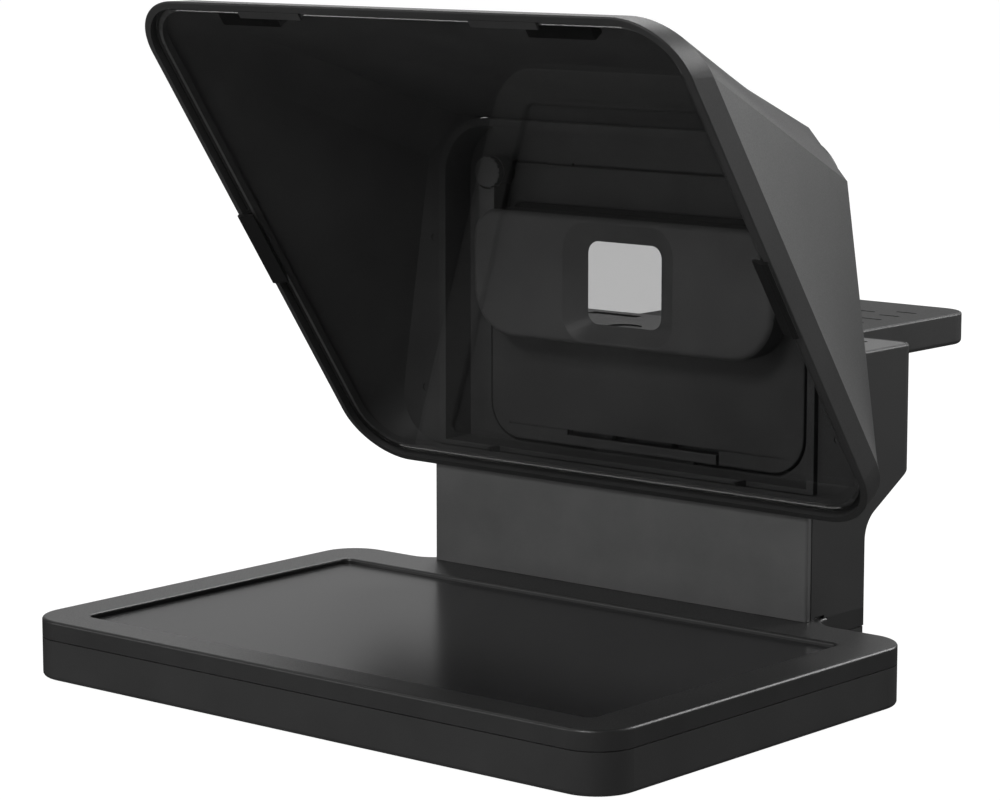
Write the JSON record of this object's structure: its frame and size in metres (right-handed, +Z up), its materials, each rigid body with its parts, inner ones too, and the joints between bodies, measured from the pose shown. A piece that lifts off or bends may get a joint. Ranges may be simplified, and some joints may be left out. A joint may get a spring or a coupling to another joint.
{
  "type": "teleprompter",
  "caption": "Desktop teleprompter: a flat display base, a short column and a tilted beam-splitter hood with a height-adjustable camera window and a rear shelf.",
  "frame": {"origin": "bottom centre of the bounding box, on the surface the feet stand on", "axes": "+Z up, -Y towards the reader, +Y towards the camera, +X to the reader's right"},
  "size_m": [0.227, 0.291, 0.2064],
  "materials": {
    "shell_black": "fine textured matte",
    "bezel_black": "fine textured matte",
    "hood_black": "fine textured matte",
    "cover_black": "satin",
    "carriage_black": "fine matte",
    "clip_black": "matte",
    "shelf_inlay": "soft matte",
    "rail": "plain moulded",
    "display_glass": "semi-gloss",
    "beam_glass": "polished, lightly tinted",
    "panel": "gloss",
    "backlight": "plain sheet",
    "circuit_board": "solder mask",
    "flex": "polyimide film",
    "rubber": "matte",
    "foam": "closed-cell foam",
    "screw_steel": "blackened",
    "socket_steel": "plated",
    "spring_steel": "blackened wire",
    "brass": "turned"
  },
  "bodies": {
    "stand": {"back_frame": "shell_black", "back_plate": "shell_black", "backlight_unit": "backlight", "base_bezel": "bezel_black", "base_screws": "screw_steel", "base_shell": "shell_black", "board_screws": "screw_steel", "box_lid": "shell_black", "column_cover": "cover_black", "column_housing": "shell_black", "column_screws": "screw_steel", "display_board": "circuit_board", "display_flex": "flex", "display_glass": "display_glass", "frame_screws": "screw_steel", "glass_gasket": "rubber", "glass_pane": "beam_glass", "hood_screws": "screw_steel", "hood_shell": "hood_black", "latch_springs": "spring_steel", "lcd_panel": "panel", "main_board": "circuit_board", "port_board": "circuit_board", "rubber_feet": "rubber", "shelf_rails": "rail", "side_clip_left": "clip_black", "side_clip_right": "clip_black", "top_clip_left": "clip_black", "top_clip_right": "clip_black", "tripod_insert": "brass", "usb_c_socket": "socket_steel"},
    "latch": {"release_latch": "shell_black"},
    "carriage": {"camera_carriage": "carriage_black", "carriage_retainer": "carriage_black", "retainer_screws": "screw_steel", "lens_seal": "foam"},
    "knob": {"lock_knob": "carriage_black"},
    "shelf": {"camera_shelf": "shell_black", "shelf_top": "shelf_inlay"}
  },
  "joints": [
    {"name": "latch_lift", "type": "slide", "parent": "stand", "child": "latch", "axis": [0, 0, 1], "range_m": [0, 0.0015], "stiffness_N_per_m": 300, "springref_m": -0.002, "deforming": ["latch_springs"]},
    {"name": "carriage_height", "type": "slide", "parent": "stand", "child": "carriage", "axis": [0, 0, 1], "range_m": [0, 0.009]},
    {"name": "knob_turn", "type": "hinge", "parent": "carriage", "child": "knob", "pos_m": [-0.055, 0.0045, 0.1491], "axis": [0, -1, 0], "range_deg": [0, 180]},
    {"name": "shelf_slide", "type": "slide", "parent": "stand", "child": "shelf", "axis": [0, -1, 0], "range_m": [0, 0.022]}
  ]
}
